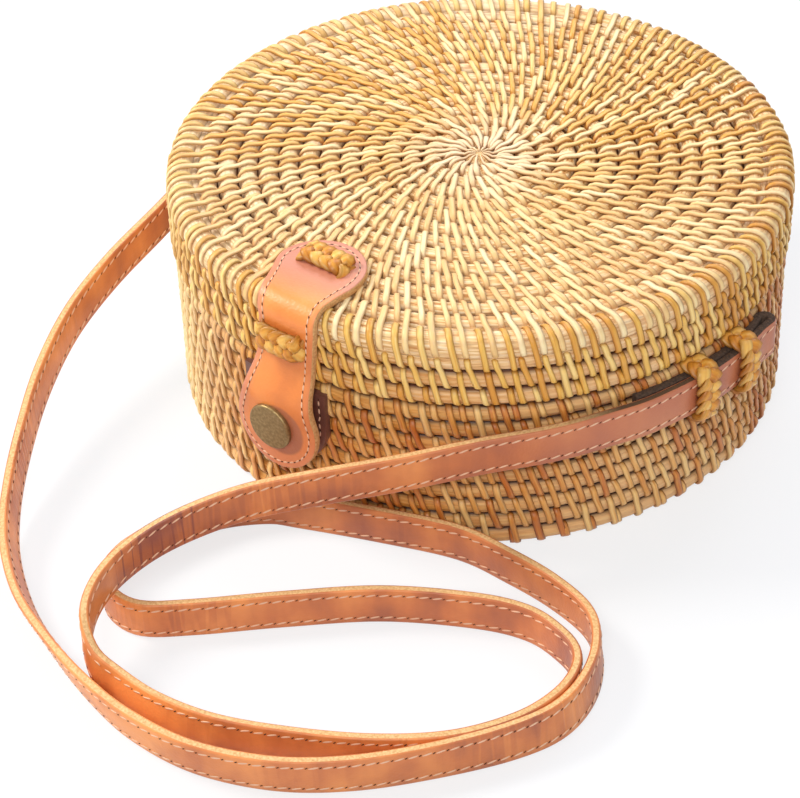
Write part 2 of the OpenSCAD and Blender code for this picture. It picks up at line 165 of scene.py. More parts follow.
def smooth_line(points, step):
    """A curve through all the points, cut into pieces of nearly one length."""
    p = np.array(points, float)
    p = np.vstack([2 * p[0] - p[1], p, 2 * p[-1] - p[-2]])
    fine = []
    for a, b, c, d in zip(p[:-3], p[1:-2], p[2:-1], p[3:]):
        for t in np.linspace(0, 1, 24, endpoint=False):
            fine.append(0.5 * (2 * b + (c - a) * t + (2 * a - 5 * b + 4 * c - d) * t * t
                               + (3 * b - a - 3 * c + d) * t ** 3))
    fine = np.array(fine + [p[-2]])
    run = run_along(fine[:, :3])
    at = np.linspace(0, run[-1], max(2, round(run[-1] / step) + 1))
    return value_at(at, run, fine), at


# %% [markdown]
# The next ones join the rings of points to a mesh, put it on its body, turn its faces outwards with
# the same operator that a modeller uses by hand, and store what a material needs to know: the run
# along the piece, how deep and how bent each point is, and where wear and painted light or shade lie on it.

# %% Meshes
def tube(rings, n, start=0, closed=False):
    """Faces over rings of n points each: closed upon itself, or with a cap as each of the last two."""
    faces = []
    for i in range(rings if closed else rings - 1):
        a, b = start + i * n, start + (i + 1) % rings * n
        faces += [(a + j, a + (j + 1) % n, b + (j + 1) % n, b + j) for j in range(n)]
    if not closed:
        faces += [tuple(range(start, start + n))[::-1],
                  tuple(range(start + (rings - 1) * n, start + rings * n))]
    return faces


def mesh_piece(name, verts, faces, materials, body=None):
    mesh = bpy.data.meshes.new(name)
    mesh.from_pydata([tuple(v) for v in verts], [], faces)
    mesh.update()
    piece = bpy.data.objects.new(name, mesh)
    bpy.context.scene.collection.objects.link(piece)
    for material in materials:
        mesh.materials.append(material)
    mesh.polygons.foreach_set("use_smooth", [True] * len(mesh.polygons))
    if body:
        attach(piece, body)
    return piece


def face_outwards(piece):
    bpy.ops.object.select_all(action="DESELECT")
    bpy.context.view_layer.objects.active = piece
    piece.select_set(True)
    bpy.ops.object.mode_set(mode="EDIT")
    bpy.ops.mesh.select_all(action="SELECT")
    bpy.ops.mesh.normals_make_consistent(inside=False)
    bpy.ops.object.mode_set(mode="OBJECT")


def point_values(piece, name, values):
    """Stores one number or one vector for each point, for a material to read."""
    values = np.array(values, float)
    kind, key = ("FLOAT_VECTOR", "vector") if values.ndim == 2 else ("FLOAT", "value")
    piece.data.attributes.new(name, kind, "POINT").data.foreach_set(key, values.ravel())


def run_map(piece, places):
    """Writes the run along a piece and the place across it, in metres, into its UV map."""
    layer = piece.data.uv_layers.new(name="run")
    for loop in piece.data.loops:
        layer.data[loop.index].uv = places[loop.vertex_index]


# %% [markdown]
# ## The shoulder strap
# The strap is two layers of leather, 13 mm wide and 2.8 mm thick, stitched along both edges. It is
# too stiff to lie flat in curves, so it stands on its edge and runs round in long loops. A curve
# with a bevel would twist at tight bends, so its section is carried along the route by hand: each
# ring stands upright, apart from a lean in degrees that the leather takes where it falls outwards.
# The route follows the model's strap, and lies a little lower or closer where the photo shows it so.
# It starts and ends under the front loops, so its joints with the fastened ends are hidden.

# %% Route of the strap: x, y, and, where not 0, height of its lower edge, all in mm, and lean
strap_width, strap_thick, at_loops = 13 * mm, 2.8 * mm, 38.5
strap_route = [
    (100.81, -25.14, at_loops), (99.62, -29.51, at_loops), (98.24, -33.83, at_loops),
    (94.9, -43.3, at_loops), (90.3, -52.2, at_loops), (79, -68, 37), (63, -85.5, 35.5),
    (47, -103.5, 33.5), (29.5, -121.5, 31.5), (13, -137.5, 28), (-0.5, -154, 22), (-8, -167.5, 15.5),
    (-7, -181, 13.5), (-2, -191.5, 10.5), (5.1, -196.8, 4, -4), (14.5, -198, 0.5, -9),
    (30, -199.1, 0, -12), (48.9, -195.6, 0, -10), (68.7, -186.7, 0, -6), (89.4, -173.8),
    (106.3, -158.8, 0, 4), (117, -142.5, 0, 4), (121.5, -129), (120.5, -118), (116, -110.5),
    (107.5, -106.5), (95, -105), (79, -110), (54.5, -124), (32, -143.5), (13, -161.5), (0, -171.5),
    (-11.5, -171.5), (-19, -165.5), (-21.4, -157), (-21, -149.5), (-18.6, -136.2), (-12.9, -121.9),
    (-2.2, -110.6), (7.5, -106), (32, -96.5), (56.5, -88.5), (75.5, -88), (93.5, -89.5),
    (109.5, -94, 0, 2), (119.5, -103.5, 0, 5), (125.5, -117, 0, 8), (126, -132, 0, 8),
    (119.5, -147, 0, 5), (106, -165.5), (90, -183, 0, -2), (72, -196, 0, -4), (50, -204, 0, -6),
    (28, -205, 0, -8), (8, -201, 0, -13), (-12, -194, 0, -18), (-33, -184.5, 0, -20),
    (-52, -171.5, 1.5, -15), (-65.8, -157, 4.5, -8), (-77.5, -139.5, 9.5, -5),
    (-88.5, -118.5, 15.5, -5), (-96.6, -95.5, 21.5, -4), (-100.5, -71.5, 26.5, -3),
    (-103.4, -43.5, 30, -1), (-104.6, -21, 34.5), (-103.9, 0, at_loops),
    (-103.8, 4.53, at_loops), (-103.5, 9.06, at_loops),
]
strap_line, strap_run = smooth_line([(*point, 0, 0)[:4] for point in strap_route], 2.2)
print("strap:", len(strap_line), "rings,", round(strap_run[-1]), "mm from end to end")

# %% [markdown]
# ## One way to make every leather band
# The free strap and its two fastened ends are the same leather, so one function sweeps them. Its
# section is a rectangle whose corners are rounded, as an edge is after it is rubbed down. The two
# broad faces get the finished leather, and the two narrow edges get the cut, which is pale; near the
# loops the edges are painted dark as shadow of the lid, and on a fastened end its edges and its inner
# face, inside the fold, get a dark finish that is painted shade. Leather near a loop is also rubbed,
# and leather at a bend creased.

# %% A leather band
def leather_band(name, frames, materials, dark_side=0, bent_at=None):
    """frames: ring centres, unit vectors over the width, and unit vectors out of the face.
    dark_side: 1 gives the broad face that looks away from those vectors the painted shade finish, -1 the
    other one.
    bent_at: the run in mm of the bend that creased the leather."""
    middle, across, outwards = frames
    w, t, c = strap_width / 2, strap_thick / 2, 0.6 * mm
    corner = c * (1 - math.sqrt(0.5))
    section = [(w - c, t), (0, t), (c - w, t), (corner - w, t - corner), (-w, t - c), (-w, c - t),
               (corner - w, corner - t), (c - w, -t), (0, -t), (w - c, -t), (w - corner, corner - t),
               (w, c - t), (w, t - c), (w - corner, t - corner)]
    # Faces that take the second finish: the narrow edges, and with dark_side also the inner face of the
    # fold, as painted shade
    second_finish = {4, 11} | {0: set(), 1: {3, 5, 6, 7, 8, 9, 10, 12}, -1: {0, 1, 2, 3, 5, 10, 12, 13}}[dark_side]
    n, rings = len(section), len(middle)
    verts = [m + a * x + o * y for m, a, o in zip(middle, across, outwards) for x, y in section]
    piece = mesh_piece(name, verts, tube(rings, n), materials, "base")
    kinds = [int(j in second_finish) for _ in range(rings - 1) for j in range(n)] + [1, 1]
    piece.data.polygons.foreach_set("material_index", kinds)
    for cap in (len(kinds) - 2, len(kinds) - 1):
        piece.data.polygons[cap].use_smooth = False
    run = run_along(middle)
    # Near the loops: a worn tone on the faces, and painted shadow of the lid on the edges
    point_values(piece, "wear_and_light", np.repeat(np.interp(run / mm, [23, 104], [0.6, 0]), n))
    if bent_at is not None:
        fold = np.interp(np.abs(run / mm - bent_at), [10, 24, 60, 110], [1, 0.45, 0.25, 0])
        point_values(piece, "bent", np.repeat(fold, n))
    run_map(piece, [(r, x) for r in run for x, _ in section])
    face_outwards(piece)
    return piece


# %% The rings of a band
def band_frames(line, leans=None):
    """Ring centres, width directions and face directions of a band that stands on the points of a line."""
    points = [Vector(p[:3]) * mm for p in line]
    middle, across, outwards = [], [], []
    for i, p in enumerate(points):
        ahead = points[min(i + 1, len(points) - 1)] - points[max(i - 1, 0)]
        ahead.z = 0
        ahead.normalize()
        side = Vector((ahead.y, -ahead.x, 0))
        lean = math.radians(leans[i] if leans is not None else 0)
        over = Vector((0, 0, math.cos(lean))) + side * math.sin(lean)
        middle.append(p + over * strap_width / 2)
        across.append(over)
        outwards.append(side * math.cos(lean) - Vector((0, 0, math.sin(lean))))
    return middle, across, outwards


# %% [markdown]
# ## Leather
# The strap and the flap are vegetable-tanned leather, dyed tan and rubbed to a soft gloss. It has a
# fine grain and clouds where the dye took unevenly. The strap is creased: long, soft bands everywhere,
# and thin, regular lines where it is bent hardest. Its front part has faded. Where leather was
# handled or held by a loop, it has lost its orange; on the flap's upper lobe the same pinker tone is a
# painted sheen. Round the snap the flap has a darker ring: partly the print the snap pressed, partly a
# painted shadow of the raised cap. The cut edges were never dyed, so they are pale and fibrous; near
# the loops they are painted dark as shadow of the lid.

# %% Creases of the strap
def creased(add, place, tone, height, share):
    """Adds the creases to the tone and the height of the leather, in place of a share of its clouds."""
    # Soft bands, 16 mm apart along the strap
    run = add("Mapping", {"Vector": place["UV"], "Scale": (62, 14, 1)})
    bands = add("TexNoise", {"Vector": run, "Scale": 1, "Detail": 3})
    tone = add("Mix", {"Factor": share, 2: tone, 3: bands})
    # Fine lines, about 4 mm apart, in patches of 9 cm
    fine = add("Mapping", {"Vector": place["UV"], "Scale": (260, 16, 1)})
    wander = add("TexNoise", {"Vector": fine, "Scale": 1, "Detail": 1})
    line = add("Math", (wander, 0.5), operation="SUBTRACT")
    line = add("Math", line, operation="ABSOLUTE")
    line = add("MapRange", (line, 0, 0.08))
    where = add("Mapping", {"Vector": place["UV"], "Scale": (11, 1, 1)})
    patch = add("TexNoise", {"Vector": where, "Scale": 1})
    calm = add("MapRange", (patch, 0.5, 0.62, 1, 0.3))
    line = add("Math", (line, calm), operation="MAXIMUM")
    drop = add("MapRange", (line, 0, 1, 0.07, 0))
    tone = add("Math", (tone, drop), operation="ADD")
    # The front part, which has faded
    forward = add("SeparateXYZ", place["Object"], out=1)
    paler = add("MapRange", (forward, -200 * mm, -168 * mm, 0.13, 0))
    tone = add("Math", (tone, paler), operation="ADD")
    # The bend, with a dark line every 3.6 mm
    bent = add("Attribute", out="Fac", attribute_name="bent")
    along = add("SeparateXYZ", place["UV"])
    along = add("Math", (along, 1 / (3.6 * mm), wander), operation="MULTIPLY_ADD")
    comb = add("Math", (along, 0.5), operation="PINGPONG")
    comb = add("MapRange", (comb, 0, 0.09, 0.24, 0))
    near = add("MapRange", (bent, 0.75, 1.0))
    comb = add("Math", (comb, near), operation="MULTIPLY")
    comb = add("Math", (bent, 0.09, comb), operation="MULTIPLY_ADD")
    tone = add("Math", (tone, comb), operation="SUBTRACT")
    return tone, add("Math", (line, 1.2, height), operation="MULTIPLY_ADD")


# %% Finished leather
def leather(name, dark, plain, light, creases=0.0, wear_and_light="#B87058", dent_and_cap_shadow=None):
    """wear_and_light: the tone where the attribute of that name is 1, partly wear and, on the flap's upper
    lobe, a painted sheen. dent_and_cap_shadow: run and x of the centre of a darker ring round the snap,
    partly its print and partly a painted shadow of the raised cap.
    """
    made, add, shader = surface(name)
    place = add("TexCoord", out=None)
    # Clouds of dye 26 mm across, and pores 0.9 mm apart, coarser than real ones so that they show
    tone = add("TexNoise", {"Vector": place["Object"], "Scale": 38, "Detail": 4})
    pores = add("TexVoronoi", {"Vector": place["Object"], "Scale": 1100})
    height = add("Math", (pores, 0.5), operation="MULTIPLY")
    if creases:
        tone, height = creased(add, place, tone, height, creases)
    colour = add("ValToRGB", tone, [(0.32, dark), (0.5, plain), (0.66, light)])
    # Where that attribute is 1: a worn tone, and on the flap's upper lobe a painted sheen
    wear_light_mark = add("Attribute", out="Fac", attribute_name="wear_and_light")
    colour = add("Mix", {"Factor": wear_light_mark, 6: colour, 7: linear(wear_and_light)}, **as_colour)
    # A darker ring round the snap, set off its centre toward the lower right: partly its print, partly a
    # painted shadow of the raised cap
    if dent_and_cap_shadow:
        away = add("VectorMath", (place["UV"], (*dent_and_cap_shadow, 0)), out="Value", operation="DISTANCE")
        ring = add("MapRange", (away, 8.3 * mm, 9.5 * mm, 0.75, 0), interpolation_type="SMOOTHSTEP")
        colour = add("Mix", {"Factor": ring, 6: colour, 7: linear("#A4644C")}, **as_colour)
    grain = add("Bump", {"Height": height, "Distance": 0.25 * mm, "Strength": 0.5})
    feed(shader, {"Base Color": colour, "Roughness": 0.42, "Coat Weight": 0.08, "Coat Roughness": 0.35,
                  "Normal": grain})
    return made


# %% Cut edges
def raw_edge(name, dark, light, wear_light_mark=None):
    """wear_light_mark: the tone of an edge painted dark near the loops, where the attribute
    'wear_and_light' says so: painted shadow of the lid.
    """
    made, add, shader = surface(name)
    place = add("TexCoord", out="Object")
    fibres = add("TexNoise", {"Vector": place, "Scale": 1300, "Detail": 4})  # 0.8 mm across
    colour = add("ValToRGB", fibres, [(0.3, dark), (0.65, light)])
    if wear_light_mark:
        # Edges painted dark near the loops, as shadow of the lid
        near = add("Attribute", out="Fac", attribute_name="wear_and_light")
        near = add("MapRange", (near, 0.42, 0.56))
        colour = add("Mix", {"Factor": near, 6: colour, 7: linear(wear_light_mark)}, **as_colour)
    nap = add("Bump", {"Height": fibres, "Distance": 0.3 * mm, "Strength": 0.6})
    feed(shader, {"Base Color": colour, "Roughness": 0.85, "Normal": nap})
    return made


# %% The strap's leather and edges
strap_leather = leather("tan_bridle_leather_creased", "#904C3A", "#CC7641", "#F09A54", creases=0.42)
# For the fastened ends: a dark finish that is painted shade, the lid's shadow on their edges and the shade
# inside the fold
shaded_end_finish = raw_edge("painted_shade_leather_edge", "#32241E", "#5C483A")
# The last tone darkens the strap's edges near the loops: painted shadow of the lid
strap_edge = raw_edge("raw_leather_edge", "#CE9C64", "#EEC690", "#5E4632")
print("leather:", strap_leather.name, strap_edge.name)

# %% The free strap
strap_frames = band_frames(strap_line, strap_line[:, 3])
bend_x, bend_y = -3, -159
bend = int(np.argmin(np.hypot(strap_line[:, 0] - bend_x, strap_line[:, 1] - bend_y)))
strap_band = leather_band("shoulder_strap", strap_frames, [strap_leather, strap_edge],
                          bent_at=float(strap_run[bend]))
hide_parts("strap")

# %% [markdown]
# ## Stitches
# Both edges of the strap, the border of the flap and the patch are sewn with pale thread. Each stitch
# lies in the leather with a dark hole at its end. One stitch and one hole are modelled, then copied
# along the line: a row of stitches is a list of points with the directions of the seam and the face.

# %% One stitch and one hole
def rounded_grain(segments, rings, size):
    """A closed, rounded grain lying along x, with the given half sizes in mm."""
    bpy.ops.object.select_all(action="DESELECT")
    bpy.ops.mesh.primitive_uv_sphere_add(segments=segments, ring_count=rings, radius=1)
    grain = bpy.context.object
    verts = np.array([(v.co.z, v.co.x, v.co.y) for v in grain.data.vertices]) * np.array(size)
    faces = [tuple(f.vertices) for f in grain.data.polygons]
    bpy.data.objects.remove(grain)
    return verts, faces


stitch_model = rounded_grain(8, 5, (1, 0.3, 0.24))
hole_model = rounded_grain(6, 4, (0.55, 0.2, 0.12))
print("one stitch:", len(stitch_model[1]), "faces, one hole:", len(hole_model[1]))


# %% Copies along a seam
def copies(name, model, places, finish, body, stretch=1.0):
    verts, faces = model
    blocks, all_faces = [], []
    for number, (point, along, side, out) in enumerate(places):
        turn = np.stack([along, side, out])
        blocks.append((verts * (stretch, 1, 1)) @ turn * mm + np.array(point))
        all_faces += [tuple(v + number * len(verts) for v in f) for f in faces]
    return mesh_piece(name, np.concatenate(blocks).tolist(), all_faces, [finish], body)


def seam_places(points, outs, pitch):
    """Places at one pitch along a line in metres: point, direction, sideways, out of the face."""
    points, outs = np.array([tuple(p) for p in points]), np.array([tuple(o) for o in outs])
    run = run_along(points)
    count = int((run[-1] / mm) / pitch)
    places = []
    for k in range(count):
        at = (k + 0.5) * run[-1] / count
        point, out = value_at(at, run, points), value_at(at, run, outs)
        ahead = value_at(at + 0.5 * mm, run, points) - value_at(at - 0.5 * mm, run, points)
        out /= np.linalg.norm(out)
        ahead -= out * ahead.dot(out)
        ahead /= np.linalg.norm(ahead)
        places.append((point, ahead, np.cross(out, ahead), out))
    return places


# %% Thread and sewing
def thread_finish(name, colour, rough):
    made, add, shader = surface(name)
    place = add("TexCoord", out="Object")
    ply = add("TexNoise", {"Vector": place, "Scale": 900, "Detail": 2})  # 1.1 mm across
    twist = add("Bump", {"Height": ply, "Distance": 0.1 * mm, "Strength": 0.6})
    feed(shader, {"Base Color": linear(colour), "Roughness": rough, "Normal": twist})
    return made


thread = thread_finish("waxed_linen_thread", "#E6BC9C", 0.6)
hole_dark = thread_finish("needle_hole", "#43200F", 0.9)


def sew(name, lines, pitch, body, tilt=0.22, reach=1.55):
    """Threads and holes along several lines; the threads turn a little across their seam."""
    threads, holes = [], []
    for points, outs in lines:
        for point, ahead, side, out in seam_places(points, outs, pitch):
            slanted = ahead * math.cos(tilt) + side * math.sin(tilt)
            threads.append((point, slanted, np.cross(out, slanted), out))
            across = ahead * math.cos(3 * tilt) + side * math.sin(3 * tilt)
            holes.append((point - ahead * pitch / 2 * mm, across, np.cross(out, across), out))
    return (copies(name + "_threads", stitch_model, threads, thread, body, reach),
            copies(name + "_holes", hole_model, holes, hole_dark, body))


# %% [markdown]
# A band has a seam along both edges of both faces, and the strap's stitches lie on it.

# %% Seams of a band
def band_seams(frames, faces=(1, -1), inset=2.1):
    lines = []
    for face in faces:
        for edge in (1, -1):
            lines.append(([m + a * edge * (strap_width / 2 - inset * mm) + o * face * strap_thick / 2
                           for m, a, o in zip(*frames)], [o * face for o in frames[2]]))
    return lines


# %% The strap's stitches
strap_pitch = 4.0
strap_sewn = sew("strap", band_seams(strap_frames), strap_pitch, "base")
print("stitches on the strap:", len(strap_sewn[0].data.polygons) // len(stitch_model[1]))

# %% [markdown]
# ## The strap's fastened ends
# Each end runs under two plaited loops, folds back on itself, and its tail lies against the wall.
# The fold can't be flat, because two layers of stiff leather keep a small round eye between them.
# An angle round the bag counts from the flap, and is positive to its right.

# %% Fastened ends
# Distances from the bag's axis in mm, and the radius of the eye
outer_layer, tail_layer, eye_centre, eye = 103.9, 100.8, 102.35, 2.8


def fastened_end(name, start_deg, fold_deg, tail_deg, replaced):
    turn = 1 if fold_deg > start_deg else -1
    line = [(outer_layer, deg) for deg in np.linspace(start_deg, fold_deg - turn * 3, 22)]
    for a in np.radians(np.linspace(75, -75, 9)):
        line.append((eye_centre + eye * 0.86 * math.sin(a),
                     fold_deg + turn * (math.degrees(eye * math.cos(a) / 102) - 0.6)))
    line += [(tail_layer, deg) for deg in np.linspace(fold_deg - turn * 4, tail_deg, 24)]
    flat = [(r * math.sin(math.radians(d)), -r * math.cos(math.radians(d)), at_loops, 0) for r, d in line]
    frames = band_frames(smooth_line(flat, 1.2)[0])
    # The edges and the inner face of the fold take the painted shade finish
    band = leather_band(name, frames, [strap_leather, shaded_end_finish], turn)
    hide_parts(replaced)
    outer = [list(part)[:len(part) // 2] for part in frames]
    sew(replaced, band_seams(outer, faces=(turn,)), strap_pitch, "base")
    return len(frames[0])


right_rings = fastened_end("strap_end_right_leather", 76, 96.8, 64, "strap_end_right")
left_rings = fastened_end("strap_end_left_leather", -95, -115.8, -83, "strap_end_left")
print("fastened ends:", right_rings, left_rings, "rings")

# %% [markdown]
# ## Cane
# Two kinds of cane make the basket. The coiled rows are bundles of split core: dull, pale, and lined
# along their length. The strands that bind them keep the glossy skin of the cane, honey-coloured, and
# where they dive between two rows and at their flanks they are painted orange-brown as shade. The
# strands carry their own run and place across as an attribute, and the rows are lined round the bag's
# axis; the rows are painted darker in the gaps between them, as shade. Cane bleaches with the sun, so
# it is paler in the middle of the lid; on the side that faces a lamp, the lid's front and the bag's
# left, it is paler too, partly from bleaching and partly as painted light.

# %% Skin cane, for the strands
def from_axis(add, place):
    flat = add("VectorMath", (place, (1, 1, 0)), operation="MULTIPLY")
    return add("VectorMath", flat, out="Value", operation="LENGTH")


def skin_cane(name, deep_shade, dark, plain, light, bleached_and_lit=0.0, sunny_lit_side=(-1, 0, 0), start=12, faded="#F8DA98"):
    """bleached_and_lit: how far the cane is paler on the sunny_lit_side, partly sun bleaching and partly
    painted light, from start mm off the middle.
    """
    made, add, shader = surface(name)
    fibre = add("Attribute", out="Vector", attribute_name="fibre")
    depth = add("Attribute", out="Fac", attribute_name="depth")
    # Fine streaks, 0.6 mm across; the last axis gives each strand streaks of its own
    drawn = add("VectorMath", (fibre, (1.7, 0.11, 40)), operation="MULTIPLY")
    streak = add("TexNoise", {"Vector": drawn, "Scale": 1, "Detail": 3})
    axes = add("SeparateXYZ", fibre, out=None)
    place = add("TexCoord", out="Object")
    centre = add("MapRange", (from_axis(add, place), 8 * mm, 32 * mm, 0.7, 0))
    tone = add("Mix", {"Factor": 0.45, 2: streak, 3: axes[2]})
    colour = add("ValToRGB", tone, [(0.3, dark), (0.5, plain), (0.72, light)])
    # Paler on the side toward a lamp: partly sun bleaching, partly painted light
    side = add("VectorMath", (place, sunny_lit_side), out="Value", operation="DOT_PRODUCT")
    pale = add("MapRange", (side, start * mm, (start + 50) * mm, 0, bleached_and_lit))
    # Painted shade: darker toward a strand's flanks and where it dives between rows
    across = add("Math", axes[0], operation="ABSOLUTE")
    flank_shade = add("MapRange", (across, 0.45, 1.1, 1, 0.45))
    depth = add("Math", (depth, flank_shade), operation="MULTIPLY")
    colour = add("Mix", {"Factor": centre, 6: colour, 7: linear("#F7E6C6")}, **as_colour)
    colour = add("Mix", {"Factor": depth, 6: linear(deep_shade), 7: colour}, **as_colour)
    colour = add("Mix", {"Factor": pale, 6: colour, 7: linear(faded)}, **as_colour)
    ribs = add("Bump", {"Height": streak, "Distance": 0.3 * mm, "Strength": 0.5})
    feed(shader, {"Base Color": colour, "Roughness": 0.4, "Normal": ribs})
    return made


# %% Split core, for the rows
def split_core(name, dark, plain, light, gap_shade, outer, height):
    """outer and height: radius and level of the crests in mm; below both the core gets painted shade, as in
    the gaps between rows.
    """
    made, add, shader = surface(name)
    place = add("TexCoord", out="Object")
    axes = add("SeparateXYZ", place, out=None)
    radius = from_axis(add, place)
    front = add("Math", (axes[1], -1), operation="MULTIPLY")
    angle = add("Math", (axes[0], front), operation="ARCTAN2")
    round_bag = add("CombineXYZ", (angle, radius, axes[2]))
    # Fibres 0.9 mm across and about 12 mm long, and a split every 2.3 mm, which wanders with them
    drawn = add("VectorMath", (round_bag, (7, 1000, 1000)), operation="MULTIPLY")
    lines = add("TexNoise", {"Vector": drawn, "Scale": 1.15, "Detail": 3})
    down = add("Math", (axes[2], radius), operation="SUBTRACT")
    down = add("Math", (down, 430, lines), operation="MULTIPLY_ADD")
    split = add("Math", (down, 0.5), operation="PINGPONG")
    split = add("MapRange", (split, 0, 0.12, 0.6))
    colour = add("ValToRGB", lines, [(0.36, dark), (0.5, plain), (0.64, light)])
    colour = add("Mix", {"Factor": split, 6: linear(dark), 7: colour}, **as_colour)
    # Browner low on the lid and on the base; paler on the left, partly bleaching and partly painted light
    # from the window lamp; paler on the right; and painted shade in the gaps between rows, stronger on the
    # walls
    lower = add("MapRange", (axes[2], 66 * mm, 77 * mm, 0.6, 0))
    left = add("MapRange", (axes[0], -62 * mm, -12 * mm, 0.6, 0))
    right_side = add("MapRange", (axes[0], 40 * mm, 92 * mm, 0, 0.5))
    # Painted shade: the further below the crests, the nearer to the gap_shade colour
    below = add("Math", (height * mm, axes[2]), operation="SUBTRACT")
    below = add("Math", below, operation="ABSOLUTE")
    inside = add("Math", (outer * mm, radius), operation="SUBTRACT")
    least = add("Math", (below, inside), operation="MINIMUM")
    least = add("Math", (least, lower, least), operation="MULTIPLY_ADD")
    shade = add("MapRange", (least, 0.8 * mm, 2.4 * mm))
    for share, tint in ((lower, "#DC9844"), (left, "#FFEBC8"), (right_side, "#F6D2A4"), (shade, gap_shade)):
        colour = add("Mix", {"Factor": share, 6: colour, 7: linear(tint)}, **as_colour)
    relief = add("Math", (split, 0.6, lines), operation="MULTIPLY_ADD")
    ribs = add("Bump", {"Height": relief, "Distance": 0.45 * mm, "Strength": 0.7})
    feed(shader, {"Base Color": colour, "Roughness": 0.5, "Normal": ribs})
    return made


# %% The finishes of the cane
# The first colour of each skin cane and the last of each split core are painted shade
lid_skin = skin_cane("honey_skin_cane", "#AC5E1A", "#E4AC4E", "#F4CC7C", "#FCE6B0",
                     0.3, (0.5, -0.87, 0), -10, "#FAE8C0")
wall_skin = skin_cane("golden_skin_cane", "#7C3C10", "#DC9838", "#EEBC58", "#F8D688", 0.45)
base_skin = skin_cane("brown_skin_cane", "#6E320C", "#C8742E", "#E4A04C", "#F6CC84", 0.95, faded="#FAE0A6")
lid_core = split_core("pale_split_core", "#C08444", "#F2CC8E", "#FFEAC2", "#5E2E10", 100, 79.8)
base_core = split_core("tan_split_core", "#B0702C", "#EEB45E", "#FAD890", "#3C1A08", 99, 0)
cover(lid_core, "lid_shell", "lid_edge_hoop", "lid_rim_hoop")
cover(base_core, "base_shell", "base_rim_hoop")
print("cane:", [m.name for m in (lid_skin, wall_skin, base_skin, lid_core, base_core)])

# %% [markdown]
# ## Binding strands
# Each strand comes up between two rows, runs over two of them, and goes down again. The next ring of
# strands starts one row further on, in the gaps, so each row is bound twice. All strands lean the
# same way, which makes the arms that turn round the lid. A row is written as its distance from the
# bag's axis, its height, its own radius, and the angles at which a strand comes up and goes down.

# %% Rows under the strands
core, rim_hoop_core, base_hoop_core = 3.4, 4.2, 3.6
lid_low_row, top_level, foot_level = 58.7, 76.2, 2.9
lid_rows = [(2.2, top_level, core, 118, 14)]
lid_rows += [(87.7 - 6.601 * k, top_level, core, 166, 14) for k in range(12, -1, -1)]
lid_rows += [(95.8, 75.8, rim_hoop_core, 160, -32), (96.6, 71.6, core, 36, -71),
             (96.6, 65.15, core, 71, -71), (96.6, lid_low_row, core, 71, -150)]
base_rows = [(95.4, 51.4, base_hoop_core, 150, -60)]
base_rows += [(95.6, 51.4 - 6.0625 * k, core, 62, -62) for k in range(1, 8)]
base_rows += [(95.6, foot_level, core, 62, -170)]
base_rows += [(95.6 - 6.7 * k, foot_level, core, -10, -170) for k in range(1, 14)]
base_rows += [(2.2, foot_level, core, -10, -118)]
print("rows:", len(lid_rows), "on the lid,", len(base_rows), "on the base")

# %% [markdown]
# ## A strand
# A strand lies close on its rows: it dips between them at both ends, and bulges a little where it
# passes over. One flat, closed strand is modelled for each pair of rows, from a grid that gets its
# thickness from a modifier, and copied round the ring. No two strands of a hand-bound basket are
# alike, so each copy differs a little in width, slant, lift and bow.

# %% The path of a strand
def over_row(row, shares, heights):
    """Points on one row: shares of the way from coming up to going down, and heights above the row.
    Where the lid and the base meet, a strand is pulled in flush, so that the bag can close."""
    r, z, radius, rise, sink = row
    points = []
    for share, height in zip(shares, heights):
        a = rise + (sink - rise) * share
        if row[1:3] == (lid_low_row, core):
            height = min(height, -0.3 + 0.65 * min(1, max(0, (a + 60) / 35)))
        if radius == base_hoop_core:
            height = min(height, -0.3 + 0.65 * min(1, max(0, (60 - a) / 35)))
        points.append((r + (radius + height) * math.cos(math.radians(a)),
                       z + (radius + height) * math.sin(math.radians(a))))
    return points


def path_over(rows):
    if len(rows) == 2:
        return (over_row(rows[0], (0, 0.09, 0.24, 0.42, 0.56, 0.69), (-0.7, -0.1, 0.3, 0.36, 0.38, 0.5))
                + over_row(rows[1], (0.31, 0.44, 0.58, 0.76, 0.91, 1), (0.5, 0.38, 0.36, 0.3, -0.1, -0.7)))
    return over_row(rows[0], (0, 0.08, 0.2, 0.35, 0.5, 0.65, 0.8, 0.92, 1),
                    (-0.7, -0.2, 0.2, 0.34, 0.36, 0.34, 0.2, -0.2, -0.7))


# %% One strand
strand_thick, strand_crown = 0.75, 0.24


def model_strand(rows, width, columns=3, step=1.45):
    """One closed strand over the rows, in the plane x = 0: x across, y outwards, z up."""
    path, _ = smooth_line(path_over(rows), step)
    ahead = heading(path)
    rings = len(path)
    bpy.ops.object.select_all(action="DESELECT")
    bpy.ops.mesh.primitive_grid_add(x_subdivisions=columns, y_subdivisions=rings - 1, size=1)
    strip = bpy.context.object
    for vertex in strip.data.vertices:
        ring, column = divmod(vertex.index, columns + 1)
        across = column / columns * 2 - 1
        crown = strand_crown * (1 - across * across)
        r, z = path[ring] + crown * np.array((-ahead[ring][1], ahead[ring][0]))
        vertex.co = (across * width / 2, r, z)
    thick = strip.modifiers.new("thickness", "SOLIDIFY")
    thick.thickness, thick.offset = strand_thick, 0
    bpy.ops.object.modifier_apply(modifier=thick.name)
    face_outwards(strip)
    verts = np.array([v.co for v in strip.data.vertices])
    faces = [tuple(f.vertices) for f in strip.data.polygons]
    ring = np.arange(len(verts)) % (rings * (columns + 1)) // (columns + 1)
    bpy.data.objects.remove(strip)
    return verts, faces, ring / (rings - 1), ahead[ring]


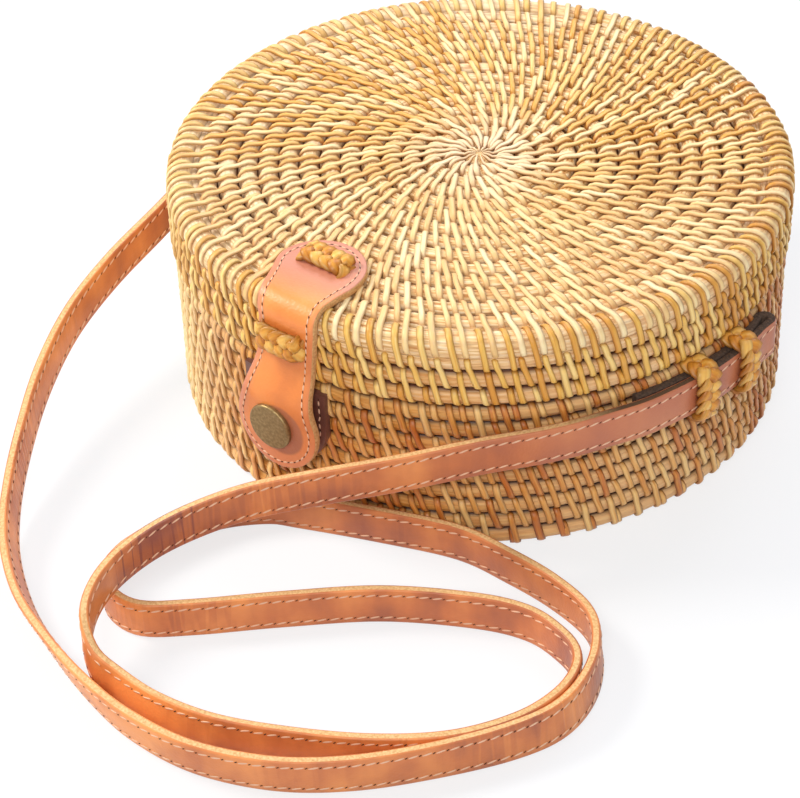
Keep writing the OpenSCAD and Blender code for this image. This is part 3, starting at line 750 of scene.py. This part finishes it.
# %% Places round a ring
def spread(angles, count, radius, slant, chance):
    """Places of the next ring: half way between the last strands, with new ones in the widest gaps."""
    around = np.sort(np.mod(angles, 2 * math.pi))
    after = np.append(around[1:], around[0] + 2 * math.pi)
    gaps = after - around
    extra = max(0, count - len(around))
    wide = set(np.argsort(-(gaps + np.array([chance.uniform(0, 0.3) for _ in gaps]) * gaps.mean()))[:extra])
    places = []
    for k, (a, b) in enumerate(zip(around, after)):
        places += [a + (b - a) * share for share in ((0.3, 0.7) if k in wide else (0.5,))]
    places = np.array(places)
    before, behind = np.roll(places, 1), np.roll(places, -1)
    before[0] -= 2 * math.pi
    behind[-1] += 2 * math.pi
    places = 0.7 * places + 0.15 * (before + behind)
    return places + slant / 2 / radius


# %% Rings of strands
def ring_of_strands(model, angles, width, slant, crests, chance, wobble):
    """crests: height and radius of the bag's outer face; below them a strand gets painted shade."""
    verts, faces, along, ahead = model
    top, side = crests
    blocks, depths, fibres = [], [], []
    radius = np.maximum(verts[:, 1], 1.2)
    room = np.minimum(1, 2 * math.pi * radius * 0.9 / (2 * len(angles) * width))
    lean = 0.5 * (along - 0.5) + 0.5 * (along * along * (3 - 2 * along) - 0.5)
    for angle in angles:
        size = chance.uniform(0.86, 1.1)
        shift = slant * chance.uniform(0.85, 1.15) * lean + chance.gauss(0, 0.22) * wobble
        lift = chance.uniform(-0.1, 0.1) * wobble
        bend = chance.uniform(-0.3, 0.3) * wobble * np.sin(along * math.pi)
        turn = angle + (verts[:, 0] * size * room + (shift + bend) * np.minimum(1, radius / 14)) / radius
        r, z = verts[:, 1] - ahead[:, 1] * lift, verts[:, 2] + ahead[:, 0] * lift
        blocks.append(np.stack([r * np.sin(turn), -r * np.cos(turn), z], 1))
        # How far below the crests each point lies, which sets its painted shade
        below = np.minimum(side - r, np.abs(top - z))
        depths.append(np.clip(1.05 - below / 2.3, 0, 1))
        fibres.append(np.stack([verts[:, 0] * size, along * 15, np.full(len(r), chance.random())], 1))
    count = len(verts)
    faces = [tuple(v + k * count for v in f) for k in range(len(angles)) for f in faces]
    return blocks, faces, depths, fibres


def strands(name, rings, finish, body):
    verts, faces, depths, fibres, start = [], [], [], [], 0
    for blocks, more, deep_shade, fibre in rings:
        faces += [tuple(v + start for v in f) for f in more]
        verts += blocks
        depths += deep_shade
        fibres += fibre
        start += sum(len(b) for b in blocks)
    verts = np.concatenate(verts)
    verts[:, 2] = np.maximum(verts[:, 2], -0.25)
    piece = mesh_piece(name, (verts * mm).tolist(), faces, [finish], body)
    point_values(piece, "fibre", np.concatenate(fibres))
    point_values(piece, "depth", np.concatenate(depths))
    print(name, len(piece.data.polygons), "faces")


# %% The lid's strands
lid_count, lid_crests, last_flat_row = 84, (80.3, 100.4), 13
chance = random.Random(12)
top_rings, wall_rings, angles = [], [], None
for j in range(len(lid_rows) - 1):
    pair = lid_rows[j:j + 2]
    middle_r = (pair[0][0] + pair[1][0]) / 2
    flat = j < last_flat_row
    count = min(lid_count, round(9 + 0.83 * middle_r)) if flat else lid_count
    slant, width = (4.2, 1.85) if flat else (3.8, 1.95)
    if angles is None:
        angles = np.arange(count) * 2 * math.pi / count
    else:
        angles = spread(angles, count, middle_r, slant, chance)
    made = ring_of_strands(model_strand(pair, width), angles, width, slant, lid_crests, chance,
                           1.8 if j < 4 else 1)
    (top_rings if j <= last_flat_row else wall_rings).append(made)
angles = spread(angles, lid_count, 100, 3.8, chance)
last_model = model_strand(lid_rows[-1:], 2.0)
wall_rings.append(ring_of_strands(last_model, angles, 2.0, 2.6, lid_crests, chance, 1))
strands("lid_top_strands", top_rings, lid_skin, "lid")

# %% [markdown]
# The groove between the last flat row and the thicker rim hoop is packed with a thin, uneven cane.

# %% Packing cane, then the lid's wall
packing_radius, packing_core, packing_level = 91.4, 1.5, 77.1
bpy.ops.object.select_all(action="DESELECT")
bpy.ops.mesh.primitive_torus_add(major_radius=packing_radius * mm, minor_radius=packing_core * mm,
                                 major_segments=180, minor_segments=10, location=(0, 0, 0))
packing = bpy.context.object
for v in packing.data.vertices:
    a = math.atan2(v.co.y, v.co.x)
    swell = 1 + (0.18 * math.sin(23 * a) + 0.12 * math.sin(41 * a + 1)) * mm / v.co.xy.length
    v.co = (v.co.x * swell, v.co.y * swell, v.co.z + (packing_level + 0.2 * math.sin(31 * a)) * mm)
packing.name = packing.data.name = "lid_packing_cane"
packing.data.materials.append(lid_core)
bpy.ops.object.shade_smooth()
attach(packing, "lid")
strands("lid_wall_strands", wall_rings, wall_skin, "lid")

# %% [markdown]
# The base is bound in the same way, from its hoop down the wall, round the foot and over the floor
# to the middle. Its cane is browner, and its strands are fewer and a little wider.

# %% The base's strands
base_count, base_width, base_side = 76, 2.1, 99.4
wall_top, floor_top, foot_row = -9, -0.3, 8
chance = random.Random(31)
angles = np.arange(base_count) * 2 * math.pi / base_count
base_rings = [ring_of_strands(model_strand(base_rows[:1], base_width), angles, base_width, 2.4,
                              (wall_top, base_side), chance, 1.4)]
floor_rings = []
for j in range(len(base_rows) - 1):
    pair = base_rows[j:j + 2]
    middle_r = (pair[0][0] + pair[1][0]) / 2
    slant = 3.8 if j < foot_row else 4.0
    count = base_count if j < foot_row else max(10, round(9 + 0.7 * middle_r))
    if count < len(angles):
        angles = np.arange(count) * 2 * math.pi / count + chance.random()
    else:
        angles = spread(angles, count, middle_r, slant, chance)
    model = model_strand(pair, base_width) if j <= foot_row else model_strand(pair, base_width, 2, 2)
    crest = wall_top if j < foot_row - 1 else floor_top
    made = ring_of_strands(model, angles, base_width, slant, (crest, base_side), chance,
                           1.4 if j <= foot_row else 1)
    (base_rings if j < foot_row else floor_rings).append(made)
strands("base_wall_strands", base_rings, base_skin, "base")
strands("base_floor_strands", floor_rings, base_skin, "base")

# %% [markdown]
# ## The flap
# One piece of leather, 2.6 mm thick, runs from the round end on the lid, over the rim, past a narrow
# waist, and down over the snap. Its shape is set by a run along the middle line: the run gives the
# place and the direction of the face, and the outline gives the width. The cut edge is pale and its
# corners are rubbed round, so each row of points carries an inner line, a corner and an edge. The
# leather hugs the round wall a little, and it was tied on by hand, so it sways to one side.

# %% Route of the flap
flap_thick, edge_round = 2.6, 0.55
lid_face, wall_face, low_face, rim_bend = 81.5, 101.5, 106.1, 5.7
route = [(66.8 + k, lid_face) for k in np.arange(0, 29, 1.0)]
route += [(95.8 + rim_bend * math.sin(a), 75.8 + rim_bend * math.cos(a))
          for a in np.linspace(0, math.pi / 2, 16)]
route += [(wall_face, z) for z in np.arange(74.8, 61.8, -1)]
route += [(wall_face + 2.3 * (1 - math.cos(math.pi * f)), 61.8 - 16.11 * f) for f in np.linspace(0, 1, 24)]
route += [(low_face, z) for z in np.arange(44.7, 20, -1)]
route = np.array(route)
route_run = run_along(route)
route_head = np.gradient(route, route_run, axis=0)
at_height = lambda z: float(np.interp(-z, -route[30:, 1], route_run[30:]))
waist_run, snap_run = at_height(68.6), at_height(38.4)
top_lobe, low_lobe, waist_half = 14.8, 15.4, 10.4
top_rise, low_rise = 28.4, 30.2


def on_flap(run, x, height):
    """A point of the flap in metres, at a height over its middle surface, with the face direction."""
    (r, z), (hr, hz) = value_at(run, route_run, route), value_at(run, route_run, route_head)
    size = math.hypot(hr, hz)
    out_r, out_z = -hz / size, hr / size
    hug = 0.8 * float(np.interp(run, [18, 38], [0, 1])) * x * x / (2 * wall_face)
    sway = float(np.interp(run, [14.8, 29, 38, 46, 54, 62, 74, 92],
                           [0.3, 2.2, 4.0, 3.5, 2.2, 1.5, 1.2, 0.8]))
    return (np.array((x + sway, hug - (r + out_r * height), z + out_z * height)) * mm,
            np.array((0, -out_r, out_z)))


# %% Outline of the flap
def half_outline():
    """Points of the right-hand outline with their outward direction, as run, x, and the two shares."""
    points = []
    for a in np.radians(np.concatenate([[1.5, 5, 10, 16], np.arange(23, 106, 8.0)])):
        points.append((top_lobe * (1 - math.cos(a)), top_lobe * math.sin(a)))
    runs = [np.arange(19.6, 28.5, 1.6), np.arange(29, 37.9, 0.75), np.arange(38.5, 70, 1.3)]
    for run in np.concatenate(runs):
        lobe, rise = (top_lobe, top_rise) if run < waist_run else (low_lobe, low_rise)
        arc = (waist_half ** 2 + rise ** 2 - lobe ** 2) / (2 * (lobe - waist_half))
        from_waist = float(np.interp(run, [0, 29, 37.954, waist_run, snap_run],
                                     [43.2, 14.2, 7.2, 0, low_rise]))
        points.append((run, waist_half + arc - math.sqrt(arc ** 2 - from_waist ** 2)))
    for a in np.radians(np.concatenate([np.arange(108, 20, -8.0), [16, 10, 5, 1.5]])):
        points.append((snap_run + low_lobe * math.cos(a), low_lobe * math.sin(a)))
    ahead = heading(np.array(points))
    return np.array(points), np.stack([-ahead[:, 1], ahead[:, 0]], 1)


outline, outline_out = half_outline()
print("flap outline:", len(outline), "points, waist at", round(waist_run, 2), "snap at", round(snap_run, 2))

# %% The flap's leather
# The pinker tone on the flap is a painted sheen on its upper lobe; the ring round the snap is partly its
# print, partly a painted shadow of the cap
flap_leather = leather("tan_saddle_leather", "#D2763A", "#EA8A42", "#F49C52", wear_and_light="#CC8876",
                       dent_and_cap_shadow=((snap_run + 0.5) * mm, 2.0 * mm))
flap_edge = raw_edge("raw_flap_edge", "#C08850", "#DFB27A")
print("flap leather:", flap_leather.name, flap_edge.name)


# %% The flap's sheet
def flap_sheet(name, columns=14):
    half, c = flap_thick / 2, edge_round
    verts, wear_and_light, places = [], [], []
    across = np.linspace(-1, 1, columns + 1)
    for (run, x), (out_run, out_x) in zip(outline, outline_out):
        face_run, face_x = run - c * out_run, max(x - c * out_x, 0.02)
        bend_run, bend_x = run - 0.3 * c * out_run, max(x - 0.3 * c * out_x, 0.03)
        rows = []
        for s in (1, -1):
            rows += [(face_run, s * face_x * share, s * half) for share in across]
            rows += [(bend_run, s * bend_x, s * (half - 0.3 * c)), (run, s * x, s * (half - c)),
                     (run, s * x, s * (c - half)), (bend_run, s * bend_x, s * (0.3 * c - half))]
        verts += [on_flap(*row)[0] for row in rows]
        places += [(row[0] * mm, row[1] * mm) for row in rows]
        # Upper lobe: a painted sheen; lower lobe and margins, more on the left: a paler, pinker tone
        lobe = float(np.interp(run, [18, 30, 78, 90], [0.8, 0, 0, 0.4]))
        for row in rows:
            margin = float(np.interp(abs(row[1]) / max(x, 1), [0.72, 1], [0, 0.75]))
            wear_and_light.append(max(lobe, margin * (1.0 if row[1] < 0 else 0.3)))
    n = 2 * (columns + 1) + 8
    second_finish = {*range(columns + 1, columns + 4), *range(n - 4, n - 1)}
    piece = mesh_piece(name, verts, tube(len(outline), n), [flap_leather, flap_edge], None)
    kinds = [int(j in second_finish) for _ in range(len(outline) - 1) for j in range(n)] + [1, 1]
    piece.data.polygons.foreach_set("material_index", kinds)
    point_values(piece, "wear_and_light", wear_and_light)
    run_map(piece, places)
    face_outwards(piece)
    return piece


# %% [markdown]
# The flap and its stitches are fixed to neither body; they stay where they are built.

# %% The flap and its stitches
flap = flap_sheet("flap_leather_piece")
seam = outline - 2.3 * outline_out
seam = seam[(seam[:, 1] > 0.4)]
round_seam = [(run, x, 0) for run, x in seam] + [(run, -x, 0) for run, x in seam[::-1]] + [(*seam[0], 0)]
placed = [on_flap(run, x, flap_thick / 2 + 0.02) for run, x, _ in smooth_line(round_seam, 0.8)[0]]
flap_sewn = sew("flap", [list(zip(*placed))], 2.7, None, 0.1, 0.95)
for piece in (flap, *flap_sewn):
    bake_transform(piece)
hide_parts("flap_upper", "flap_lower")
print("flap:", len(flap.data.polygons), "faces,", len(flap_sewn[0].data.polygons) // len(stitch_model[1]),
      "stitches")

# %% [markdown]
# ## Plaited cane ties and loops
# Flat cane is plaited in threes to tie the flap to the lid, and again to make the loops that hold
# the strap. In a plait of three, each strand swings from side to side once while it rises and falls
# twice. Every strand is swept along its path as a flat oval that keeps its face outwards.

# %% A plait of three
plait_width, plait_thick, ply_points = 10, 3.9, 8


def plait(name, line, outs, sides, width, period, strand, body, replaced):
    """line: points in mm. outs, sides: unit vectors. strand: width and thickness of one cane."""
    line, outs, sides = np.array(line), np.array(outs), np.array(sides)
    run = run_along(line)
    swing, rise = (width - strand[0]) / 2, (plait_thick - strand[1]) / 2
    square = lambda v: math.copysign(abs(v) ** 0.6, v) if abs(v) > 1e-9 else 0.0
    section = [(square(math.cos(a)), square(math.sin(a))) for a in np.arange(ply_points) * math.pi / 4]
    verts, faces, fibres, depths = [], [], [], []
    for k in range(3):
        faces += tube(len(line), ply_points, len(verts))
        phase = 2 * math.pi * (run / period + k / 3)
        centre = line + sides * (swing * np.sin(phase))[:, None]
        centre += outs * (rise * np.sin(2 * phase))[:, None]
        for i, (point, head, out) in enumerate(zip(centre, heading(centre), outs)):
            face = out - head * out.dot(head)
            face /= np.linalg.norm(face)
            side = np.cross(face, head)
            for x, y in section:
                verts.append((point + side * x * strand[0] / 2 + face * y * strand[1] / 2) * mm)
                fibres.append((x * 1.05, run[i] + 7 * k, 0.3 + 0.3 * k))
                # Painted shade: darker on the side toward the wall and where a strand dips under the others
                depths.append(0.72 + 0.2 * y + 0.22 * math.sin(2 * phase[i]))
    piece = mesh_piece(name, verts, faces, [tie_cane], body)
    point_values(piece, "fibre", fibres)
    point_values(piece, "depth", np.clip(depths, 0, 1))
    face_outwards(piece)
    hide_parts(replaced)


# %% The arch of a tie or a loop
def bridge(half, height, depth, corner):
    """An arch in a plane: up from below, round, straight over, and down again; u along, h up."""
    path = [(-half, -depth), (-half, height - corner)]
    path += [(-half + corner * (1 - math.cos(a)), height - corner + corner * math.sin(a))
             for a in np.linspace(0.3, math.pi / 2, 4)]
    path += [(-u, h) for u, h in path[::-1]]
    fine = smooth_line([(u, h, 0) for u, h in path], 0.7)[0][:, :2]
    ahead = heading(fine)
    return fine, np.stack([-ahead[:, 1], ahead[:, 0]], 1)


# %% Ties on the flap
tie_cane = skin_cane("amber_skin_cane", "#70340A", "#C07420", "#E09A34", "#F4C264")


def flap_tie(name, run, shift, replaced):
    arch, out = bridge(7.4, 3.0, 2.2, 1.6)
    line, outs, sides = [], [], []
    for (u, h), (ou, oh) in zip(arch, out):
        point, face = on_flap(run, u + shift, flap_thick / 2 + h - 1.2)
        line.append(point / mm)
        outs.append(np.array((ou, 0, 0)) + face * oh)
        sides.append(np.cross(outs[-1], np.array((oh, 0, 0)) - face * ou))
    plait(name, line, outs, sides, plait_width, 10.5, (4.5, 1.6), "lid", replaced)


flap_tie("flap_tie_top_plait", 77.9 - 66.8, 0, "flap_tie_top")
flap_tie("flap_tie_waist_plait", at_height(69.6), -1.4, "flap_tie_waist")

# %% Loops that hold the strap
wall_radius, loop_level = 97.9, 45


def strap_plait(name, deg, replaced):
    arch, out = bridge(8.3, 9.2, 2.5, 2.6)
    a = math.radians(deg)
    radial, side = np.array((math.sin(a), -math.cos(a), 0)), np.array((math.cos(a), math.sin(a), 0))
    line = [radial * (wall_radius + h) + np.array((0, 0, loop_level - u)) for u, h in arch]
    outs = [radial * oh - np.array((0, 0, ou)) for ou, oh in out]
    plait(name, line, outs, [side] * len(line), plait_width - 0.2, 11, (4.6, 1.6), "base", replaced)


for name, deg in (("right_front", 77), ("right_rear", 87.5), ("left_front", -96), ("left_rear", -106.5)):
    strap_plait("strap_loop_" + name + "_plait", deg, "strap_loop_" + name)

# %% [markdown]
# ## Hinge ties
# Two rings of twisted cane at the back join the lid to the base. Two thin strands are laid round
# each other, as the maker twists them before the ends are tucked into the coil.

# %% Twisted rings
hinge_y, hinge_z, ring_radius, ply_radius = 100.6, 55.15, 7.2, 0.6


def twisted_ring(name, x, replaced, rings=96, turns=9):
    verts, faces, fibres = [], [], []
    for ply in (0, math.pi):
        faces += tube(rings, ply_points, len(verts), closed=True)
        for i in range(rings):
            a = 2 * math.pi * i / rings
            twist = turns * a + ply
            radial = np.array((0, math.cos(a), math.sin(a)))
            centre = np.array((x, hinge_y, hinge_z)) + radial * (ring_radius + 0.5 * math.cos(twist))
            centre = centre + np.array((0.5 * math.sin(twist), 0, 0))
            for b in np.arange(ply_points) * math.pi / 4:
                around = radial * math.cos(b) + np.array((math.sin(b), 0, 0))
                verts.append((centre + ply_radius * around) * mm)
                fibres.append((math.cos(b), a * 7, 0.5))
    piece = mesh_piece(name, verts, faces, [tie_cane], "base")
    point_values(piece, "fibre", fibres)
    point_values(piece, "depth", np.full(len(verts), 0.9))
    face_outwards(piece)
    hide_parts(replaced)


twisted_ring("hinge_tie_left_twist", -22, "hinge_tie_left")
twisted_ring("hinge_tie_right_twist", 22, "hinge_tie_right")
print("hinge ties made")

# %% [markdown]
# ## Snap, patch and linings
# The snap is brass with a brown patina, cloudy from handling. The patch behind it is the same hide
# as the strap, in a darker tone. Both linings are plain-woven cotton, glued inside the coils.

# %% Brass
def aged_brass(name):
    made, add, shader = surface(name)
    place = add("TexCoord", out="Object")
    cloud = add("TexNoise", {"Vector": place, "Scale": 900, "Detail": 6})  # 1.1 mm across
    colour = add("ValToRGB", cloud, [(0.3, "#86704A"), (0.52, "#988056"), (0.72, "#AC9468")])
    wear = add("MapRange", (cloud, 0, 1, 0.55, 0.35))
    dents = add("Bump", {"Height": cloud, "Distance": 0.1 * mm, "Strength": 0.4})
    feed(shader, {"Base Color": colour, "Metallic": 0.8, "Roughness": wear, "Normal": dents})
    return made


snap_parts = ("snap_cap", "snap_socket", "snap_stud")
cover(aged_brass("aged_brass"), *snap_parts)
print("brass on", snap_parts)

# %% The patch
cover(leather("dark_patch_leather", "#5A3830", "#754A3E", "#8E5E4C"), "stud_patch")
seam_half, seam_level, patch_face = 13.6, 38.4, 101.42
patch_line = [(seam_half, z) for z in np.arange(50.3, 42.5, -1.5)]
patch_line += [(seam_half * math.cos(a), seam_level - seam_half * math.sin(a))
               for a in np.radians(np.arange(-15, 196, 3.0))]
patch_line += [(-seam_half, z) for z in np.arange(42.5, 50.4, 1.5)]
points = [np.array((x, -math.sqrt(patch_face ** 2 - x * x), z)) * mm for x, z in patch_line]
outs = [np.array((p[0], p[1], 0)) / np.linalg.norm(p[:2]) for p in points]
sew("patch", [(points, outs)], 2.9, "base", 0.05, 1.0)
print("patch seam:", round(float(run_along(points)[-1] / mm)), "mm")


# %% The linings
def cotton(name, colour, shade):
    made, add, shader = surface(name)
    place = add("TexCoord", out="Object")
    # Threads 1 mm apart, twice as coarse as real ones, so that they show
    warp = add("TexWave", {"Vector": place, "Scale": 330}, out=1, bands_direction="DIAGONAL")
    weft = add("TexWave", {"Vector": place, "Scale": 330}, out=1, bands_direction="Z")
    weave = add("Math", (warp, weft), operation="MULTIPLY")
    mixed = add("Mix", {"Factor": weave, 6: linear(shade), 7: linear(colour)}, **as_colour)
    cloth = add("Bump", {"Height": weave, "Distance": 0.15 * mm, "Strength": 0.5})
    feed(shader, {"Base Color": mixed, "Roughness": 0.95, "Normal": cloth})
    return made


cover(cotton("natural_cotton", "#D8C6A2", "#B8A27A"), "base_lining", "lid_lining")
print("finishes on", len(nodes), "solids")

# %% [markdown]
# ## Floor and light
# The bag stands on a plain white sheet, which keeps its soft shadow. A soft lamp stands to the left,
# as a window would, a cooler one behind, and one fills from the front. Seen directly, the sheet and
# the world behind it are white.

# %% Floor
paper_glow, world_light, added_when_seen = 0.72, 0.38, 0.57


def seen_directly(add):
    """1 for a ray from the camera, a mirror or a clear body, and 0 for one that only brings light."""
    rays = add("LightPath", out=None)
    direct = add("Math", (rays["Is Camera Ray"], rays["Is Glossy Ray"]), operation="MAXIMUM")
    return add("Math", (direct, rays["Is Transmission Ray"]), operation="MAXIMUM")


def white_sheet():
    """Paper that a camera sees as half lit from within, so only the soft part of a shadow stays."""
    made, add, shader = surface("white_paper")
    feed(shader, {"Base Color": linear("#EDF1FA"), "Roughness": 0.9})
    share = add("Math", (seen_directly(add), paper_glow), operation="MULTIPLY")
    glow = add("Emission", {"Color": (1, 1, 1, 1), "Strength": 1.0})
    mixed = add("MixShader", (share, shader.outputs[0], glow))
    feed(made.node_tree.nodes["Material Output"], {"Surface": mixed})
    return made


bpy.ops.object.select_all(action="DESELECT")
bpy.ops.mesh.primitive_plane_add(size=6, location=(0, 0, -0.3 * mm))
floor = bpy.context.object
floor.name = "floor"
floor.data.materials.append(white_sheet())
print("floor:", floor.dimensions[:2])

# %% Lamps
def lamp(name, azimuth, elevation, distance, size, watts, colour):
    a, e = math.radians(azimuth), math.radians(elevation)
    toward = Vector((math.sin(a) * math.cos(e), -math.cos(a) * math.cos(e), math.sin(e)))
    data = bpy.data.lights.new(name, "AREA")
    data.shape, data.size, data.energy = "DISK", size, watts
    data.color = linear(colour)[:3]
    thing = bpy.data.objects.new(name, data)
    thing.location = toward * distance
    thing.rotation_euler = toward.to_track_quat("Z", "Y").to_euler()
    bpy.context.scene.collection.objects.link(thing)


lamp("window_left", -68, 44, 1.6, 0.55, 18.5, "#FFF9EC")
lamp("window_back", 200, 50, 1.8, 1.3, 14, "#EEF2FF")
lamp("front_fill", 30, 46, 2.2, 0.8, 19, "#FFFCF6")

# %% World
world = bpy.data.worlds.new("studio_white")
bpy.context.scene.world = world
world.use_nodes = True
add = partial(node, world.node_tree)
level = add("Math", (seen_directly(add), added_when_seen, world_light), operation="MULTIPLY_ADD")
feed(world.node_tree.nodes["Background"], {"Color": (1, 1, 1, 1), "Strength": level})
bpy.context.scene.view_settings.view_transform = "Standard"
print("world:", world.name, "lights with", world_light, "and shows", world_light + added_when_seen)
